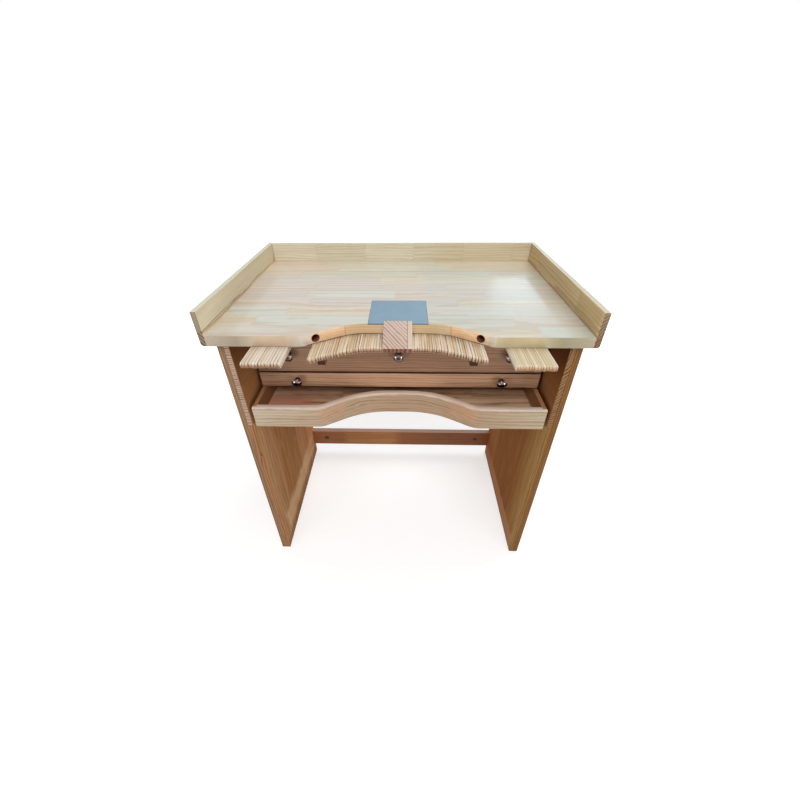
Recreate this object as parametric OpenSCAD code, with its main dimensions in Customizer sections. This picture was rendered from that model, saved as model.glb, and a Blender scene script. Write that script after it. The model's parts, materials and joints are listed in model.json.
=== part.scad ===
// Jeweller's workbench in laminated pine: an arched top with upstands, an inlaid
// steel plate, a bench pin, a sliding hand rest, two sliding armrests, two drawers
// and a sweep tray with a curved front.
// Heights count from the floor, and depths from the front edge of the top.

/* [Top] */
// Width of the bench over its side upstands
bench_w = 1000; // [940:5:1200]
// Depth from the front edge of the top to the outside of the back upstand
top_d = 610; // [545:5:720]
// Height of the work surface above the floor
surface_h = 1000; // [850:5:1100]
// Thickness of the laminated top
top_t = 30; // [27:1:40]
// Thickness of the upstands
upstand_t = 15; // [12:1:22]
// Height of the upstands above the work surface
upstand_h = 66; // [40:1:100]
// Round on the lower outer edge of the side upstands
upstand_r = 8; // [3:1:11]
// Height of the glue line of the left upstand above the work surface
left_joint_h = 12; // [0:0.5:20]
// Height of the glue line of the right upstand above the work surface
right_joint_h = 0; // [0:0.5:20]

/* [Arch in the top] */
// Depth of the arch cut into the front edge
arch_depth = 71; // [60:1:85]
// Straight stretch at the middle of the arch
arch_flat = 162; // [150:1:180]
// Radius of the hollow each side of the straight stretch
arch_r = 150; // [120:5:200]
// Angle of the straight flanks
arch_angle = 31; // [26:1:34]
// Radius where a flank meets the front edge
arch_corner_r = 40; // [20:1:60]

/* [Tool sockets] */
// Bore of the tool sockets in the flanks
socket_d = 22; // [16:0.5:23]
// Depth of the tool sockets
socket_depth = 45; // [30:1:60]
// Distance of a socket from the middle of the bench
socket_x = 209; // [200:1:214]

/* [Steel plate] */
// Width of the inlaid plate
plate_w = 160; // [100:1:180]
// Depth of the inlaid plate
plate_d = 150; // [100:1:180]
// Thickness of the inlaid plate
plate_t = 3; // [2:0.5:5]

/* [Bench pin] */
// Width of the bench pin
pin_w = 74; // [60:1:90]
// How far the pin reaches out of the arch
pin_reach = 96; // [80:1:120]
// Height of the back of the pin above the work surface
pin_proud = 9; // [0:1:15]
// Thickness of the nose of the pin
pin_nose = 11; // [6:1:16]
// Width of the tongue
tongue_w = 56; // [40:1:58]
// Thickness of the tongue
tongue_t = 14; // [10:1:16]
// Length of the tongue
tongue_l = 55; // [40:1:70]

/* [Hand rest] */
// Width of the hand rest
rest_w = 434; // [420:1:450]
// Depth of the hand rest from its foremost corner to its back
rest_d = 172; // [160:1:180]
// How far the middle of the hand rest stands out of the arch
rest_out = 74; // [60:1:80]
// Depth of the hollow in its front edge
rest_hollow = 54; // [45:1:60]
// Straight stretch at the middle of that edge
rest_flat = 120; // [100:1:140]
// Radius of the hollow each side of the straight stretch
rest_r = 180; // [150:5:210]
// Angle of the ends of the front edge
rest_angle = 26; // [22:1:28]
// Radius of its foremost corners
rest_corner_r = 8; // [7:1:12]
// Round along the upper front edge of the hand rest
rest_round = 6; // [3:1:6]
// Thickness of the hand rest and the armrests
rest_t = 16; // [14:1:18]
// Width of the two bars that carry the hand rest
bar_w = 19; // [14:1:24]
// Height of the bars
bar_h = 11; // [9:1:13]
// Distance from the end of the hand rest to the middle of a bar
bar_inset = 30; // [24:1:40]
// Room behind the bars, for the hand rest to be pushed in
bar_room = 98; // [85:1:150]

/* [Armrests] */
// Width of an armrest
arm_w = 95; // [80:1:105]
// Length of an armrest
arm_l = 420; // [380:5:440]
// Distance from the middle of the bench to the middle of an armrest
arm_x = 324.5; // [315:0.5:330]
// Round along the upper front edge of the armrests
arm_round = 6; // [3:1:8]
// How far the left armrest is drawn out of the front edge
arm_out_left = 78; // [20:1:120]
// How far the right armrest is drawn out of the front edge
arm_out_right = 83; // [20:1:120]

/* [Guides under the top] */
// Width of a guide rail
guide_w = 18; // [14:1:20]
// Reach of a guide's lip under the sliding piece
lip_reach = 6; // [4:1:10]
// Thickness of a guide's lip
lip_t = 7; // [5:1:8]
// Front end of the armrest guides
arm_guide_front = 60; // [50:5:80]
// Length of the armrest guides
arm_guide_l = 370; // [340:5:400]
// Front end of the hand rest guides
bar_guide_front = 200; // [195:5:220]
// Length of the hand rest guides
bar_guide_l = 280; // [240:5:310]
// Wall beside the groove of a hand rest guide
bar_guide_wall = 11; // [8:1:14]
// Thickness of the keeper under a hand rest guide
keeper_t = 6; // [4:1:6]

/* [Legs] */
// Distance from the side of the bench to the outside of a leg
leg_inset = 24; // [16:1:40]
// Distance from the front edge of the top to the front of the legs
leg_front = 26; // [20:1:40]
// Distance from the back of the bench to the back of the legs
leg_back = 50; // [20:5:60]
// Thickness of the outer leg boards
leg_t = 16; // [14:1:22]
// Thickness of the inner leg boards and the carcass sides
liner_t = 15.5; // [14:0.5:22]

/* [Carcass] */
// Height of the carcass sides under the top
carcass_h = 295; // [285:1:310]
// Thickness of the back board
back_t = 12; // [9:1:16]
// Side of the square cleats that hold the top
cleat_s = 22; // [18:1:26]
// Length of the cleats
cleat_l = 420; // [300:10:440]

/* [Stretcher] */
// Thickness of the rear stretcher
stretcher_t = 24; // [20:1:30]
// Height of the rear stretcher
stretcher_h = 85; // [60:1:120]
// Height of its lower edge above the floor
stretcher_z = 70; // [40:5:200]
// Distance from the end of the stretcher to its barrel nuts
barrel_in = 70; // [50:1:80]
// Diameter of the barrel nuts
barrel_d = 10; // [10:0.5:14]
// Length of the barrel nuts
barrel_l = 16; // [14:1:17]
// Diameter of the bolts
bolt_d = 6; // [5:0.5:8]
// Diameter of the flat bolt heads
bolt_head_d = 15; // [12:0.5:18]
// Thickness of the flat bolt heads
bolt_head_t = 2.5; // [2:0.5:4]

/* [Drawers and tray] */
// Depth of the drawer fronts behind the front edge of the top
drawer_face = 130; // [124:1:150]
// Room between the drawer boxes and the back board
drawer_room = 28; // [20:1:80]
// Height left free under the top for the guides
slide_zone = 40; // [38:1:46]
// Height of the upper drawer front
upper_h = 125; // [100:1:130]
// Height of the tool drawer front
tool_h = 52; // [48:1:60]
// Gap between the two drawer fronts
front_gap = 6; // [3:1:8]
// Thickness of the drawer fronts
front_t = 18; // [16:1:22]
// Thickness of drawer and tray sides
side_t = 12; // [11:0.5:15]
// Thickness of drawer and tray backs
rear_t = 12; // [8:1:15]
// Thickness of drawer and tray bottoms
bottom_t = 5; // [3:0.5:6]
// Depth of the grooves that hold the bottoms
bottom_groove = 4; // [3:0.5:5]
// Distance from the lower edge of a side to its bottom
bottom_up = 6; // [5:1:9]
// Rise of a drawer side over the lower edge of its front
side_rise = 4; // [2:1:6]
// Drop of a drawer side under the upper edge of its front
side_drop = 6; // [2:1:8]
// Gap between a drawer side and the carcass side
side_gap = 10; // [6:0.5:14]
// Width of the hardwood runners
runner_w = 16; // [14.5:0.5:16.5]
// Height of the hardwood runners
runner_h = 12; // [8:1:12]
// Height of the sweep tray
tray_h = 73; // [60:1:80]
// Room between the tray and the back board
tray_room = 50; // [20:1:100]
// Thickness of the curved tray front
tray_front_t = 20; // [16:1:24]
// Depth of the tray front behind the front edge of the top
tray_face = 28; // [27:1:40]
// Gap between the tray and the tool drawer front
tray_gap = 5; // [3:1:8]
// Depth of the curve in the tray front
tray_hollow = 74; // [60:1:80]
// Straight stretch at the middle of that curve
tray_flat = 60; // [40:1:80]
// Radius of the curve each side of the straight stretch
tray_r = 270; // [240:5:290]
// Angle of its flanks
tray_angle = 30; // [26:1:31]
// Radius where a flank meets the straight end
tray_corner_r = 60; // [40:1:70]
// Lap of the tray sides into the ends of the tray front
tray_lap = 11; // [6:1:12]
// Round along both upper edges of the tray front
tray_round = 5; // [2:1:7]

/* [Knobs] */
// Diameter of a knob
knob_d = 31; // [26:1:34]
// How far a knob stands out
knob_l = 24; // [20:1:30]
// Thickness of the head of a knob
knob_head_t = 10; // [9:0.5:11]
// Round on both edges of the head
knob_edge_r = 4; // [2:0.5:4]
// Diameter of the neck of a knob
knob_neck_d = 13; // [10:0.5:15]
// Diameter of the foot of a knob
knob_foot_d = 18; // [16:1:22]
// Thickness of the foot of a knob
knob_foot_t = 2; // [1:0.5:3]
// Distance of the outer knobs of the upper drawer from the middle
upper_knob_x = 327; // [250:1:360]
// Distance of the knobs of the tool drawer from the middle
tool_knob_x = 316; // [250:1:360]
// Diameter of the knob screws
screw_d = 4; // [3:0.5:5]
// Length of the knob screws under the head
screw_l = 28; // [26:1:30]
// Thickness of the heads of the knob screws
screw_head_t = 2.5; // [1.5:0.5:3]

/* [Clearances] */
// Gap between sliding pieces
run_gap = 0.3; // [0.2:0.05:0.5]
// Gap round a bolt, a screw or a barrel nut in its hole
bolt_gap = 0.25; // [0.1:0.05:0.5]
// Gap between the bolt and the thread of its nut, and between a screw and its knob
thread_gap = 0.05; // [0.03:0.01:0.1]
// Gap at the ends of the runners and behind the tongue
end_gap = 1; // [0.5:0.5:2]

/* [Hidden] */
$fn = 64;
eps = 0.01;
past = 1;
arc_steps = 12;
round_steps = 3;

// An arch curve is [depth, straight middle, hollow radius, flank angle, corner radius].
// It runs from a straight middle through a hollow arc and a straight flank to a
// rounded corner on the front edge, on each side.
top_arch = [arch_depth, arch_flat, arch_r, arch_angle, arch_corner_r];
rest_arch = [rest_hollow, rest_flat, rest_r, rest_angle, rest_corner_r];
tray_arch = [tray_hollow, tray_flat, tray_r, tray_angle, tray_corner_r];

// Levels, counted from the floor
under_z = surface_h - top_t;
carcass_z = under_z - carcass_h;
slide_top_z = under_z - run_gap;
slide_low_z = slide_top_z - rest_t;
bar_low_z = slide_low_z - bar_h;
upper_z = under_z - slide_zone - upper_h;
tool_z = upper_z - front_gap - tool_h;
tray_z = tool_z - tray_gap - tray_h;
tray_floor_z = tray_z + side_rise + bottom_up;
tongue_z = under_z + (top_t - plate_t - tongue_t) / 2;
upper_runner_z = upper_z + upper_h / 2;
tool_runner_z = tool_z + (tool_h - runner_h) / 2;
tray_runner_z = tray_z + tray_h / 2;

// Widths, counted from the middle
half_w = bench_w / 2;
panel_x = half_w - upstand_t;
leg_x = half_w - leg_inset;
liner_x = leg_x - leg_t;
inner_x = liner_x - liner_t;
box_x = inner_x - side_gap;
bar_x = rest_w / 2 - bar_inset;
upper_knobs = [-upper_knob_x, 0, upper_knob_x];
tool_knobs = [-tool_knob_x, tool_knob_x];

// Depths, counted from the front edge of the top
panel_d = top_d - upstand_t;
leg_end = top_d - leg_back;
leg_d = leg_end - leg_front;
back_y = leg_end - back_t;
rest_front = arch_depth - rest_out - rest_hollow;
bar_front = rest_front + flank_y(bar_x - bar_w / 2, rest_arch);
bar_end = back_y - bar_room;
pin_back = arch_depth - run_gap;
pin_front = pin_back - pin_reach;
arm_reach = max(arm_out_left, arm_out_right);
drawer_end = back_y - drawer_room;
drawer_inside = drawer_face + front_t;
drawer_run_l = drawer_end - drawer_inside;
tray_d = back_y - tray_room - tray_face;
tray_inside = tray_face + tray_front_t;
tray_run_l = tray_d - tray_front_t;
tray_tuck = tray_front_t - bottom_groove;

// The origin lies under the middle of the whole bench, so the front edge of the
// top lies here
front_y = (arm_reach - top_d) / 2;

// Grooves and holes
groove_depth = runner_w - side_gap + run_gap;
groove_h = runner_h + 2 * run_gap;
bolt_hole_d = bolt_d + 2 * bolt_gap;
screw_hole_d = screw_d + 2 * bolt_gap;
barrel_y = leg_end - stretcher_t / 2;
bolt_z = stretcher_z + stretcher_h / 2;
bolt_l = leg_t + liner_t + barrel_in + barrel_d / 2;

pine_light = "Wheat";
pine = "BurlyWood";
pine_warm = "Tan";
pine_dark = "Peru";
hardwood = "Sienna";
steel = "LightSteelBlue";
chrome = "Silver";

// Where the hollow arc ends, and the depth of the curve on the flank at x
function arch_knee(arch) = let (d = arch[0], w = arch[1], r = arch[2], a = arch[3])
    [w / 2 + r * sin(a), d - r * (1 - cos(a))];
function flank_y(x, arch) = arch_knee(arch)[1] - (x - arch_knee(arch)[0]) * tan(arch[3]);

// Centre of the rounded corner
function corner_centre(arch) = let (knee = arch_knee(arch), a = arch[3], r = arch[4])
    [knee[0] + knee[1] / tan(a) + r * tan(a / 2), r];

function arc_points(centre, r, from, to, steps) = [
    for (i = [0:steps]) let (turn = from + (to - from) * i / steps)
        centre + r * [cos(turn), sin(turn)]
];

// Right half of the curve, from the middle outwards, set back into the board by inset
function half_curve(arch, inset) = let (a = arch[3]) concat(
    arc_points([arch[1] / 2, arch[0] - arch[2]], arch[2] + inset, 90, 90 - a, arc_steps),
    arc_points(corner_centre(arch), arch[4] - inset, -90 - a, -90, arc_steps)
);
function flipped(points) = [
    for (i = [len(points) - 1:-1:0]) [-points[i][0], points[i][1]]
];
function arch_curve(arch, inset = 0) =
    concat(flipped(half_curve(arch, inset)), half_curve(arch, inset));
function backwards(points) = [for (i = [len(points) - 1:-1:0]) points[i]];

module from_front() {
    translate([0, front_y, 0]) children();
}

module left_and_right() {
    children();
    mirror([1, 0, 0]) children();
}

// Front edge of a board with an arch curve, out to its square ends
function arched_edge(half, arch, inset = 0) =
    concat([[-half, inset]], arch_curve(arch, inset), [[half, inset]]);

// Straight back edge with a point behind each point of the front edge
function straight_edge(front, depth) = [for (p = front) [p[0], depth]];

// Board in plan with an arch curve cut into its front edge
module arched_panel(half, depth, arch) {
    polygon(concat(arched_edge(half, arch), [[half, depth], [-half, depth]]));
}

// Board h thick between a front and a back edge, which run from left to right with as
// many points each. edges(inset) gives both, set back, for the round of radius r along
// the upper side.
module rounded_board(h, r, edges) {
    turns = [for (i = [0:round_steps]) 90 * i / round_steps];
    levels = concat([[0, 0]], [for (turn = turns) [h - r + r * sin(turn), r - r * cos(turn)]]);
    half_count = len(edges(0)[0]);
    count = 2 * half_count;
    top = len(turns) * count;
    polyhedron(
        points = [
            for (level = levels) let (pair = edges(level[1]))
                for (p = concat(pair[0], backwards(pair[1]))) [p[0], p[1], level[0]]
        ],
        faces = concat(
            [for (i = [0:half_count - 2]) [i, i + 1, count - 2 - i, count - 1 - i]],
            [for (i = [0:half_count - 2])
                [top + i, top + count - 1 - i, top + count - 2 - i, top + i + 1]],
            [for (k = [0:len(turns) - 1]) for (i = [0:count - 1])
                let (a = k * count + i, b = k * count + (i + 1) % count)
                    each [[a, a + count, b + count], [a, b + count, b]]]
        )
    );
}

// Corner left over by a round of radius r, with the solid at +X below Y = 0
module round_waste(r) {
    difference() {
        translate([-past, -r]) square([r + past, r + past]);
        translate([r, -r]) circle(r);
    }
}

// Board that runs front to back, with its upper front edge rounded
module nosed_board(w, l, t, r) {
    translate([-w / 2, 0, 0]) rotate([90, 0, 90]) linear_extrude(w)
        difference() {
            square([l, t]);
            translate([0, t]) round_waste(r);
        }
}

// Top, plate and upstands

module socket_bores() {
    y = flank_y(socket_x, top_arch);
    left_and_right()
        translate([socket_x, y, surface_h - top_t / 2]) rotate([0, 0, -arch_angle])
            rotate([-90, 0, 0]) translate([0, 0, -socket_d])
                cylinder(h = socket_depth + socket_d, d = socket_d);
}

module plate_recess() {
    translate([-plate_w / 2, arch_depth - past, surface_h - plate_t])
        cube([plate_w, plate_d + past, plate_t + past]);
}

module tongue_mortise() {
    translate([-tongue_w / 2 - run_gap, arch_depth - past, tongue_z - run_gap])
        cube([tongue_w + 2 * run_gap, tongue_l + end_gap + past, tongue_t + 2 * run_gap]);
}

module bench_top() {
    color(pine_light) from_front() difference() {
        translate([0, 0, under_z]) linear_extrude(top_t)
            arched_panel(panel_x, panel_d, top_arch);
        socket_bores();
        plate_recess();
        tongue_mortise();
    }
}

module steel_plate() {
    color(steel) from_front()
        translate([-plate_w / 2, arch_depth, surface_h - plate_t])
            cube([plate_w, plate_d, plate_t]);
}

// Board beside the top, up to the glue line of its upstand
module edge_board(joint_h) {
    translate([panel_x, top_d, under_z]) rotate([90, 0, 0]) linear_extrude(top_d)
        difference() {
            square([upstand_t, top_t + joint_h]);
            translate([upstand_t, 0]) rotate([0, 0, 180]) round_waste(upstand_r);
        }
}
module left_edge_board() { color(pine) from_front() mirror([1, 0, 0]) edge_board(left_joint_h); }
module right_edge_board() { color(pine) from_front() edge_board(right_joint_h); }

module side_upstand(joint_h) {
    translate([panel_x, 0, surface_h + joint_h]) cube([upstand_t, top_d, upstand_h - joint_h]);
}
module left_upstand() { color(pine) from_front() mirror([1, 0, 0]) side_upstand(left_joint_h); }
module right_upstand() { color(pine) from_front() side_upstand(right_joint_h); }

module back_upstand() {
    color(pine) from_front() translate([-panel_x, panel_d, under_z])
        cube([2 * panel_x, upstand_t, top_t + upstand_h]);
}

// Legs, carcass and stretcher

module bolt_hole() {
    translate([inner_x - past, barrel_y, bolt_z]) rotate([0, 90, 0])
        cylinder(h = leg_t + liner_t + 2 * past, d = bolt_hole_d);
}

module leg_board() {
    difference() {
        translate([liner_x, leg_front, 0]) cube([leg_t, leg_d, under_z]);
        bolt_hole();
    }
}
module left_leg() { color(pine_warm) from_front() mirror([1, 0, 0]) leg_board(); }
module right_leg() { color(pine_warm) from_front() leg_board(); }

module leg_liner() {
    difference() {
        translate([inner_x, leg_front, 0]) cube([liner_t, leg_d, carcass_z]);
        bolt_hole();
    }
}
module left_leg_liner() { color(pine_dark) from_front() mirror([1, 0, 0]) leg_liner(); }
module right_leg_liner() { color(pine_dark) from_front() leg_liner(); }

module carcass_side() {
    translate([inner_x, leg_front, carcass_z]) cube([liner_t, leg_d, carcass_h]);
}
module left_carcass_side() { color(pine) from_front() mirror([1, 0, 0]) carcass_side(); }
module right_carcass_side() { color(pine) from_front() carcass_side(); }

module carcass_back() {
    color(pine_warm) from_front() translate([-inner_x, back_y, carcass_z])
        cube([2 * inner_x, back_t, carcass_h]);
}

module top_cleat() {
    translate([inner_x - cleat_s, back_y - cleat_l, under_z - cleat_s])
        cube([cleat_s, cleat_l, cleat_s]);
}
module left_top_cleat() { color(hardwood) from_front() mirror([1, 0, 0]) top_cleat(); }
module right_top_cleat() { color(hardwood) from_front() top_cleat(); }

module barrel_seat(d, l) {
    left_and_right()
        translate([inner_x - barrel_in, barrel_y - barrel_l / 2, bolt_z]) rotate([-90, 0, 0])
            translate([0, 0, barrel_l - l]) cylinder(h = l, d = d);
}

module rear_stretcher() {
    hole_l = barrel_in + barrel_d;
    color(pine_dark) from_front() difference() {
        translate([-inner_x, leg_end - stretcher_t, stretcher_z])
            cube([2 * inner_x, stretcher_t, stretcher_h]);
        barrel_seat(barrel_d + 2 * bolt_gap, barrel_l + stretcher_t);
        left_and_right()
            translate([inner_x - hole_l, barrel_y, bolt_z]) rotate([0, 90, 0])
                cylinder(h = hole_l + past, d = bolt_hole_d);
    }
}

module stretcher_bolts() {
    color(chrome) from_front() left_and_right()
        translate([leg_x - bolt_l, barrel_y, bolt_z]) rotate([0, 90, 0]) {
            cylinder(h = bolt_l, d = bolt_d);
            translate([0, 0, bolt_l]) cylinder(h = bolt_head_t, d = bolt_head_d);
        }
}

module barrel_nuts() {
    color(chrome) from_front() difference() {
        barrel_seat(barrel_d, barrel_l);
        left_and_right()
            translate([inner_x - barrel_in - barrel_d, barrel_y, bolt_z]) rotate([0, 90, 0])
                cylinder(h = 2 * barrel_d, d = bolt_d + 2 * thread_gap);
    }
}

// Guides under the top

// Rail with its lip under an armrest, for the side of the armrest at +X
module arm_guide() {
    rail_h = rest_t + lip_t + 2 * run_gap;
    translate([arm_w / 2 + run_gap, arm_guide_front + arm_guide_l, under_z - rail_h])
        rotate([90, 0, 0]) linear_extrude(arm_guide_l) polygon([
            [-lip_reach, 0], [guide_w, 0], [guide_w, rail_h], [0, rail_h],
            [0, lip_t], [-lip_reach, lip_t]
        ]);
}
module left_arm_outer_guide() {
    color(hardwood) from_front() translate([-arm_x, 0, 0]) mirror([1, 0, 0]) arm_guide();
}
module left_arm_inner_guide() {
    color(hardwood) from_front() translate([-arm_x, 0, 0]) arm_guide();
}
module right_arm_outer_guide() {
    color(hardwood) from_front() translate([arm_x, 0, 0]) arm_guide();
}
module right_arm_inner_guide() {
    color(hardwood) from_front() translate([arm_x, 0, 0]) mirror([1, 0, 0]) arm_guide();
}

module bar_guide() {
    guide_h = under_z - bar_low_z + run_gap;
    half = bar_w / 2 + run_gap;
    wide = half + bar_guide_wall;
    groove = bar_h + 2 * run_gap;
    translate([bar_x, bar_guide_front + bar_guide_l, under_z - guide_h])
        rotate([90, 0, 0]) linear_extrude(bar_guide_l) polygon([
            [-wide, 0], [-half, 0], [-half, groove], [half, groove], [half, 0],
            [wide, 0], [wide, guide_h], [-wide, guide_h]
        ]);
}
module left_bar_guide() { color(hardwood) from_front() mirror([1, 0, 0]) bar_guide(); }
module right_bar_guide() { color(hardwood) from_front() bar_guide(); }

module bar_keeper() {
    wide = bar_w / 2 + run_gap + bar_guide_wall;
    translate([bar_x - wide, bar_guide_front, bar_low_z - run_gap - keeper_t])
        cube([2 * wide, bar_guide_l, keeper_t]);
}
module left_bar_keeper() { color(hardwood) from_front() mirror([1, 0, 0]) bar_keeper(); }
module right_bar_keeper() { color(hardwood) from_front() bar_keeper(); }

// Runners. Each one is housed in the outer groove of a drawer side.

module runner(front, l, z) {
    translate([inner_x - runner_w, front, z]) cube([runner_w, l, runner_h]);
}

module upper_runner() { runner(drawer_inside + end_gap, drawer_run_l - end_gap, upper_runner_z); }
module tool_runner() { runner(drawer_inside + end_gap, drawer_run_l - end_gap, tool_runner_z); }
module tray_runner() { runner(tray_inside + end_gap, tray_run_l - end_gap, tray_runner_z); }

module upper_left_runner() { color(hardwood) from_front() mirror([1, 0, 0]) upper_runner(); }
module upper_right_runner() { color(hardwood) from_front() upper_runner(); }
module tool_left_runner() { color(hardwood) from_front() mirror([1, 0, 0]) tool_runner(); }
module tool_right_runner() { color(hardwood) from_front() tool_runner(); }
module tray_left_runner() { color(hardwood) from_front() mirror([1, 0, 0]) tray_runner(); }
module tray_right_runner() { color(hardwood) from_front() tray_runner(); }

// Drawers. A drawer has a front, two grooved sides, a back that stands on the
// bottom, and a bottom held in grooves.

module drawer_bottom(z) {
    half = box_x - side_t + bottom_groove;
    translate([-half, drawer_inside - bottom_groove, z + side_rise + bottom_up])
        cube([2 * half, drawer_run_l + bottom_groove, bottom_t]);
}

module knob_places(xs, z, h) {
    for (x = xs) translate([x, drawer_face, z + h / 2]) rotate([90, 0, 0]) children();
}

module drawer_front(xs, z, h) {
    difference() {
        translate([-box_x, drawer_face, z]) cube([2 * box_x, front_t, h]);
        drawer_bottom(z);
        knob_places(xs, z, h) translate([0, 0, -front_t - past])
            cylinder(h = front_t + 2 * past, d = screw_hole_d);
    }
}

module drawer_side(z, h, runner_z) {
    difference() {
        translate([box_x - side_t, drawer_inside, z + side_rise])
            cube([side_t, drawer_run_l, h - side_rise - side_drop]);
        drawer_bottom(z);
        translate([box_x - groove_depth, drawer_inside - past, runner_z - run_gap])
            cube([groove_depth + past, drawer_run_l + 2 * past, groove_h]);
    }
}

module drawer_back(z, h) {
    half = box_x - side_t;
    low = z + side_rise + bottom_up + bottom_t;
    translate([-half, drawer_end - rear_t, low])
        cube([2 * half, rear_t, z + h - side_drop - low]);
}

// Turned knob on its own axis, with its foot at Z = 0
module knob() {
    head_z = knob_l - knob_head_t;
    core_r = knob_d / 2 - knob_edge_r;
    difference() {
        rotate_extrude() {
            square([knob_foot_d / 2, knob_foot_t]);
            square([knob_neck_d / 2, knob_l - knob_edge_r]);
            translate([0, head_z]) square([core_r, knob_head_t]);
            translate([0, head_z + knob_edge_r])
                square([knob_d / 2, knob_head_t - 2 * knob_edge_r]);
            for (z = [head_z + knob_edge_r, knob_l - knob_edge_r])
                translate([core_r, z]) circle(knob_edge_r);
        }
        translate([0, 0, -past])
            cylinder(h = screw_l - front_t + past + end_gap, d = screw_d + 2 * thread_gap);
    }
}

module knob_screw() {
    translate([0, 0, -front_t]) cylinder(h = screw_l, d = screw_d);
    translate([0, 0, -front_t - screw_head_t]) cylinder(h = screw_head_t, d = 2 * screw_d);
}

module upper_drawer_front() { color(pine) from_front() drawer_front(upper_knobs, upper_z, upper_h); }
module upper_drawer_left_side() {
    color(pine_warm) from_front() mirror([1, 0, 0]) drawer_side(upper_z, upper_h, upper_runner_z);
}
module upper_drawer_right_side() {
    color(pine_warm) from_front() drawer_side(upper_z, upper_h, upper_runner_z);
}
module upper_drawer_back() { color(pine_warm) from_front() drawer_back(upper_z, upper_h); }
module upper_drawer_bottom() { color(pine_light) from_front() drawer_bottom(upper_z); }
module upper_drawer_knobs() {
    color(chrome) from_front() knob_places(upper_knobs, upper_z, upper_h) knob();
}
module upper_knob_screws() {
    color(steel) from_front() knob_places(upper_knobs, upper_z, upper_h) knob_screw();
}

module tool_drawer_front() { color(pine) from_front() drawer_front(tool_knobs, tool_z, tool_h); }
module tool_drawer_left_side() {
    color(pine_warm) from_front() mirror([1, 0, 0]) drawer_side(tool_z, tool_h, tool_runner_z);
}
module tool_drawer_right_side() {
    color(pine_warm) from_front() drawer_side(tool_z, tool_h, tool_runner_z);
}
module tool_drawer_back() { color(pine_warm) from_front() drawer_back(tool_z, tool_h); }
module tool_drawer_bottom() { color(pine_light) from_front() drawer_bottom(tool_z); }
module tool_drawer_knobs() {
    color(chrome) from_front() knob_places(tool_knobs, tool_z, tool_h) knob();
}
module tool_knob_screws() {
    color(steel) from_front() knob_places(tool_knobs, tool_z, tool_h) knob_screw();
}

// Sweep tray

module tray_bottom_solid() {
    half = box_x - side_t + bottom_groove;
    translate([0, tray_face, tray_floor_z]) linear_extrude(bottom_t) polygon(concat(
        arch_curve(tray_arch, tray_tuck),
        [[half, tray_tuck], [half, tray_d], [-half, tray_d], [-half, tray_tuck]]
    ));
}

module tray_front() {
    color(pine) from_front() difference() {
        translate([0, tray_face, tray_z])
            rounded_board(tray_h, tray_round, function(inset) [
                arched_edge(box_x, tray_arch, inset),
                arched_edge(box_x, tray_arch, tray_front_t - inset)
            ]);
        tray_bottom_solid();
        left_and_right() translate([box_x - side_t, tray_inside - tray_lap, tray_z - past])
            cube([side_t + past, tray_lap + past, tray_h + 2 * past]);
    }
}

module tray_side() {
    difference() {
        translate([box_x - side_t, tray_inside - tray_lap, tray_z])
            cube([side_t, tray_run_l + tray_lap, tray_h]);
        tray_bottom_solid();
        translate([box_x - groove_depth, tray_inside - past, tray_runner_z - run_gap])
            cube([groove_depth + past, tray_run_l + 2 * past, groove_h]);
    }
}
module tray_left_side() { color(pine_warm) from_front() mirror([1, 0, 0]) tray_side(); }
module tray_right_side() { color(pine_warm) from_front() tray_side(); }

module tray_back() {
    half = box_x - side_t;
    low = tray_floor_z + bottom_t;
    color(pine_warm) from_front() translate([-half, tray_face + tray_d - rear_t, low])
        cube([2 * half, rear_t, tray_z + tray_h - low]);
}

module tray_bottom() { color(pine_light) from_front() tray_bottom_solid(); }

// Armrests, hand rest and bench pin

module left_armrest() {
    color(pine_light) from_front() translate([-arm_x, -arm_out_left, slide_low_z])
        nosed_board(arm_w, arm_l, rest_t, arm_round);
}
module right_armrest() {
    color(pine_light) from_front() translate([arm_x, -arm_out_right, slide_low_z])
        nosed_board(arm_w, arm_l, rest_t, arm_round);
}

module hand_rest_slab() {
    color(pine_light) from_front() translate([0, rest_front, slide_low_z])
        rounded_board(rest_t, rest_round, function(inset)
            let (front = arched_edge(rest_w / 2, rest_arch, inset))
                [front, straight_edge(front, rest_d)]);
}

module hand_rest_bar() {
    translate([bar_x - bar_w / 2, bar_front, bar_low_z])
        cube([bar_w, bar_end - bar_front, bar_h]);
}
module left_hand_rest_bar() { color(hardwood) from_front() mirror([1, 0, 0]) hand_rest_bar(); }
module right_hand_rest_bar() { color(hardwood) from_front() hand_rest_bar(); }

module bench_pin() {
    color(pine_light) from_front() {
        translate([-pin_w / 2, 0, 0]) rotate([90, 0, 90]) linear_extrude(pin_w) polygon([
            [pin_front, under_z], [pin_back, under_z], [pin_back, surface_h + pin_proud],
            [pin_front, under_z + pin_nose]
        ]);
        translate([-tongue_w / 2, pin_back - eps, tongue_z])
            cube([tongue_w, tongue_l + eps, tongue_t]);
    }
}

bench_top();
steel_plate();
left_edge_board();
right_edge_board();
left_upstand();
right_upstand();
back_upstand();
left_leg();
right_leg();
left_leg_liner();
right_leg_liner();
left_carcass_side();
right_carcass_side();
carcass_back();
left_top_cleat();
right_top_cleat();
rear_stretcher();
stretcher_bolts();
barrel_nuts();
left_arm_outer_guide();
left_arm_inner_guide();
right_arm_outer_guide();
right_arm_inner_guide();
left_bar_guide();
right_bar_guide();
left_bar_keeper();
right_bar_keeper();
upper_left_runner();
upper_right_runner();
tool_left_runner();
tool_right_runner();
tray_left_runner();
tray_right_runner();
upper_drawer_front();
upper_drawer_left_side();
upper_drawer_right_side();
upper_drawer_back();
upper_drawer_bottom();
upper_drawer_knobs();
upper_knob_screws();
tool_drawer_front();
tool_drawer_left_side();
tool_drawer_right_side();
tool_drawer_back();
tool_drawer_bottom();
tool_drawer_knobs();
tool_knob_screws();
tray_front();
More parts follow.
